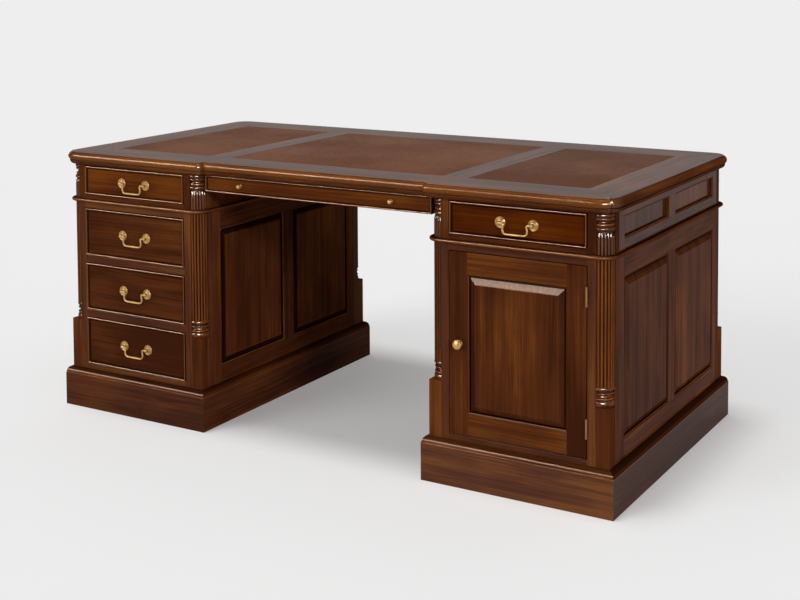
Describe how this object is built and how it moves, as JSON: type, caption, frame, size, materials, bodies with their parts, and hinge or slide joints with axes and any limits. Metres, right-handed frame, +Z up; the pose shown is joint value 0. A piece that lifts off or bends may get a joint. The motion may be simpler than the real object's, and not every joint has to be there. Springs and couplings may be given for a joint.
{
  "type": "partners desk",
  "caption": "Two-sided pedestal writing desk with reeded corner columns, leather-lined top, drawers on bail handles, panelled cupboard doors and an open kneehole.",
  "frame": {"origin": "on the floor under the middle of the top", "axes": "+X along the length to the front sitter's right, -Y towards the front sitter, +Z up"},
  "size_m": [1.8, 0.9318, 0.785],
  "materials": {
    "mahogany": "glossy lacquer over red-brown stain",
    "lining_wood": "plain planed secondary wood",
    "leather": "matt tan-brown hide",
    "brass": "satin brass, slightly toned"
  },
  "bodies": {
    "carcass": {"fixed_hinge_leaves": "brass", "frieze_columns": "mahogany", "frieze_ends": "mahogany", "frieze_frame": "mahogany", "frieze_inside": "mahogany", "leather_panels": "leather", "left_columns": "mahogany", "left_frame": "mahogany", "left_inside": "lining_wood", "left_plinth": "mahogany", "left_side_panels": "mahogany", "right_columns": "mahogany", "right_frame": "mahogany", "right_inside": "lining_wood", "right_plinth": "mahogany", "right_side_panels": "mahogany", "top_border": "mahogany", "top_cross_bands": "mahogany", "top_under_boards": "lining_wood", "waist_boards": "mahogany"},
    "front_left_frieze_drawer": {"front_left_frieze_drawer": "mahogany", "front_left_frieze_rosettes": "brass"},
    "front_left_frieze_bail": {"front_left_frieze_bail": "brass"},
    "front_right_frieze_drawer": {"front_right_frieze_drawer": "mahogany", "front_right_frieze_rosettes": "brass"},
    "front_right_frieze_bail": {"front_right_frieze_bail": "brass"},
    "front_lower_drawer": {"front_lower_drawer": "mahogany", "front_lower_rosettes": "brass"},
    "front_lower_bail": {"front_lower_bail": "brass"},
    "front_middle_drawer": {"front_middle_drawer": "mahogany", "front_middle_rosettes": "brass"},
    "front_middle_bail": {"front_middle_bail": "brass"},
    "front_upper_drawer": {"front_upper_drawer": "mahogany", "front_upper_rosettes": "brass"},
    "front_upper_bail": {"front_upper_bail": "brass"},
    "front_centre_drawer": {"front_centre_drawer": "mahogany", "front_centre_knobs": "brass"},
    "front_door": {"front_door": "mahogany", "front_door_knob": "brass", "front_door_hinge_leaves": "brass"},
    "back_left_frieze_drawer": {"back_left_frieze_drawer": "mahogany", "back_left_frieze_rosettes": "brass"},
    "back_left_frieze_bail": {"back_left_frieze_bail": "brass"},
    "back_right_frieze_drawer": {"back_right_frieze_drawer": "mahogany", "back_right_frieze_rosettes": "brass"},
    "back_right_frieze_bail": {"back_right_frieze_bail": "brass"},
    "back_lower_drawer": {"back_lower_drawer": "mahogany", "back_lower_rosettes": "brass"},
    "back_lower_bail": {"back_lower_bail": "brass"},
    "back_middle_drawer": {"back_middle_drawer": "mahogany", "back_middle_rosettes": "brass"},
    "back_middle_bail": {"back_middle_bail": "brass"},
    "back_upper_drawer": {"back_upper_drawer": "mahogany", "back_upper_rosettes": "brass"},
    "back_upper_bail": {"back_upper_bail": "brass"},
    "back_centre_drawer": {"back_centre_drawer": "mahogany", "back_centre_knobs": "brass"},
    "back_door": {"back_door": "mahogany", "back_door_knob": "brass", "back_door_hinge_leaves": "brass"}
  },
  "joints": [
    {"name": "front_left_frieze_drawer_slide", "type": "slide", "parent": "carcass", "child": "front_left_frieze_drawer", "axis": [0, -1, 0], "range_m": [0, 0.3]},
    {"name": "front_left_frieze_bail_swing", "type": "hinge", "parent": "front_left_frieze_drawer", "child": "front_left_frieze_bail", "pos_m": [-0.628, -0.452, 0.70025], "axis": [-1, 0, 0], "range_deg": [-12, 90]},
    {"name": "front_right_frieze_drawer_slide", "type": "slide", "parent": "carcass", "child": "front_right_frieze_drawer", "axis": [0, -1, 0], "range_m": [0, 0.3]},
    {"name": "front_right_frieze_bail_swing", "type": "hinge", "parent": "front_right_frieze_drawer", "child": "front_right_frieze_bail", "pos_m": [0.628, -0.452, 0.70025], "axis": [-1, 0, 0], "range_deg": [-12, 90]},
    {"name": "front_lower_drawer_slide", "type": "slide", "parent": "carcass", "child": "front_lower_drawer", "axis": [0, -1, 0], "range_m": [0, 0.3]},
    {"name": "front_lower_bail_swing", "type": "hinge", "parent": "front_lower_drawer", "child": "front_lower_bail", "pos_m": [-0.628, -0.452, 0.20642], "axis": [-1, 0, 0], "range_deg": [-12, 90]},
    {"name": "front_middle_drawer_slide", "type": "slide", "parent": "carcass", "child": "front_middle_drawer", "axis": [0, -1, 0], "range_m": [0, 0.3]},
    {"name": "front_middle_bail_swing", "type": "hinge", "parent": "front_middle_drawer", "child": "front_middle_bail", "pos_m": [-0.628, -0.452, 0.37425], "axis": [-1, 0, 0], "range_deg": [-12, 90]},
    {"name": "front_upper_drawer_slide", "type": "slide", "parent": "carcass", "child": "front_upper_drawer", "axis": [0, -1, 0], "range_m": [0, 0.3]},
    {"name": "front_upper_bail_swing", "type": "hinge", "parent": "front_upper_drawer", "child": "front_upper_bail", "pos_m": [-0.628, -0.452, 0.54208], "axis": [-1, 0, 0], "range_deg": [-12, 90]},
    {"name": "front_centre_drawer_slide", "type": "slide", "parent": "carcass", "child": "front_centre_drawer", "axis": [0, -1, 0], "range_m": [0, 0.28]},
    {"name": "front_door_hinge", "type": "hinge", "parent": "carcass", "child": "front_door", "pos_m": [0.819, -0.44705, 0.37425], "axis": [0, 0, 1], "range_deg": [0, 165]},
    {"name": "back_left_frieze_drawer_slide", "type": "slide", "parent": "carcass", "child": "back_left_frieze_drawer", "axis": [0, 1, 0], "range_m": [0, 0.3]},
    {"name": "back_left_frieze_bail_swing", "type": "hinge", "parent": "back_left_frieze_drawer", "child": "back_left_frieze_bail", "pos_m": [0.628, 0.452, 0.70025], "axis": [1, 0, 0], "range_deg": [-12, 90]},
    {"name": "back_right_frieze_drawer_slide", "type": "slide", "parent": "carcass", "child": "back_right_frieze_drawer", "axis": [0, 1, 0], "range_m": [0, 0.3]},
    {"name": "back_right_frieze_bail_swing", "type": "hinge", "parent": "back_right_frieze_drawer", "child": "back_right_frieze_bail", "pos_m": [-0.628, 0.452, 0.70025], "axis": [1, 0, 0], "range_deg": [-12, 90]},
    {"name": "back_lower_drawer_slide", "type": "slide", "parent": "carcass", "child": "back_lower_drawer", "axis": [0, 1, 0], "range_m": [0, 0.3]},
    {"name": "back_lower_bail_swing", "type": "hinge", "parent": "back_lower_drawer", "child": "back_lower_bail", "pos_m": [0.628, 0.452, 0.20642], "axis": [1, 0, 0], "range_deg": [-12, 90]},
    {"name": "back_middle_drawer_slide", "type": "slide", "parent": "carcass", "child": "back_middle_drawer", "axis": [0, 1, 0], "range_m": [0, 0.3]},
    {"name": "back_middle_bail_swing", "type": "hinge", "parent": "back_middle_drawer", "child": "back_middle_bail", "pos_m": [0.628, 0.452, 0.37425], "axis": [1, 0, 0], "range_deg": [-12, 90]},
    {"name": "back_upper_drawer_slide", "type": "slide", "parent": "carcass", "child": "back_upper_drawer", "axis": [0, 1, 0], "range_m": [0, 0.3]},
    {"name": "back_upper_bail_swing", "type": "hinge", "parent": "back_upper_drawer", "child": "back_upper_bail", "pos_m": [0.628, 0.452, 0.54208], "axis": [1, 0, 0], "range_deg": [-12, 90]},
    {"name": "back_centre_drawer_slide", "type": "slide", "parent": "carcass", "child": "back_centre_drawer", "axis": [0, 1, 0], "range_m": [0, 0.28]},
    {"name": "back_door_hinge", "type": "hinge", "parent": "carcass", "child": "back_door", "pos_m": [-0.819, 0.44705, 0.37425], "axis": [0, 0, 1], "range_deg": [0, 165]}
  ]
}
